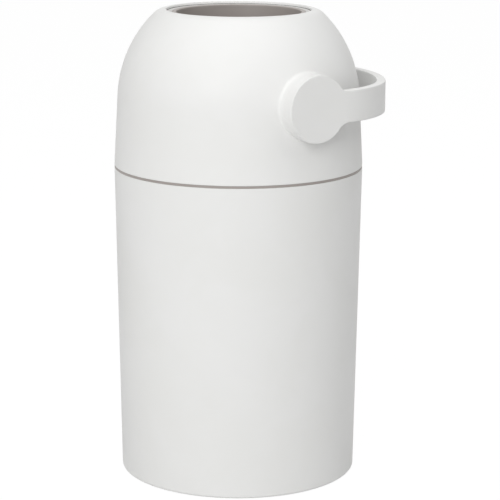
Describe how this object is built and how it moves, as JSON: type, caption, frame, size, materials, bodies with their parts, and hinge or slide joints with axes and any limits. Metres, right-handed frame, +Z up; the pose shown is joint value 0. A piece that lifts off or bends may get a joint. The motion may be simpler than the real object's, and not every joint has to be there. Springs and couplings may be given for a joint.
{
  "type": "nappy bin",
  "caption": "Round nappy bin with a domed lid whose swinging handle tips a round drum, dropping its cup's load into the bin below.",
  "frame": {"origin": "on the ground under the middle of the body, in the foot ring's resting plane", "axes": "+Z up; +X along the handle's pivot axis; +Y towards the grip band as parked beside the open mouth"},
  "size_m": [0.2864, 0.2853, 0.5],
  "materials": {
    "white_shell": "satin white moulded plastic",
    "grey_plastic": "satin warm grey moulded plastic",
    "soft_rubber": "soft matt rubber",
    "bearing_plastic": "smooth natural bearing plastic",
    "axle_plastic": "hard dark filled plastic",
    "screw_steel": "zinc plated",
    "insert_brass": "knurled brass"
  },
  "bodies": {
    "bin": {"body_shell": "white_shell", "foot_ring": "soft_rubber", "rim_ring": "grey_plastic"},
    "bag_holder": {"bag_ring": "grey_plastic"},
    "lid": {"dome_shell": "white_shell", "mouth_seal": "soft_rubber", "lid_gasket": "soft_rubber", "drum_cradle": "grey_plastic", "wiper_seal": "soft_rubber", "cradle_screws": "screw_steel", "left_bush": "bearing_plastic", "right_bush": "bearing_plastic"},
    "drum": {"handle": "white_shell", "handle_inserts": "insert_brass", "left_axle": "axle_plastic", "right_axle": "axle_plastic", "axle_screws": "screw_steel", "axle_seals": "soft_rubber", "drum_upper": "white_shell", "drum_lower": "white_shell", "drum_cup": "grey_plastic", "cup_screws": "screw_steel"}
  },
  "joints": [
    {"name": "lid_lift", "type": "slide", "parent": "bin", "child": "lid", "axis": [0, 0, 1], "range_m": [0, 0.25]},
    {"name": "bag_ring_lift", "type": "slide", "parent": "bin", "child": "bag_holder", "axis": [0, 0, 1], "range_m": [0, 0.1]},
    {"name": "handle_swing", "type": "hinge", "parent": "lid", "child": "drum", "pos_m": [0, 0, 0.411], "axis": [1, 0, 0], "range_deg": [0, 180]}
  ],
  "couplings": [
    {"joint": "bag_ring_lift", "follows": "lid_lift", "ratio": 0.4}
  ]
}
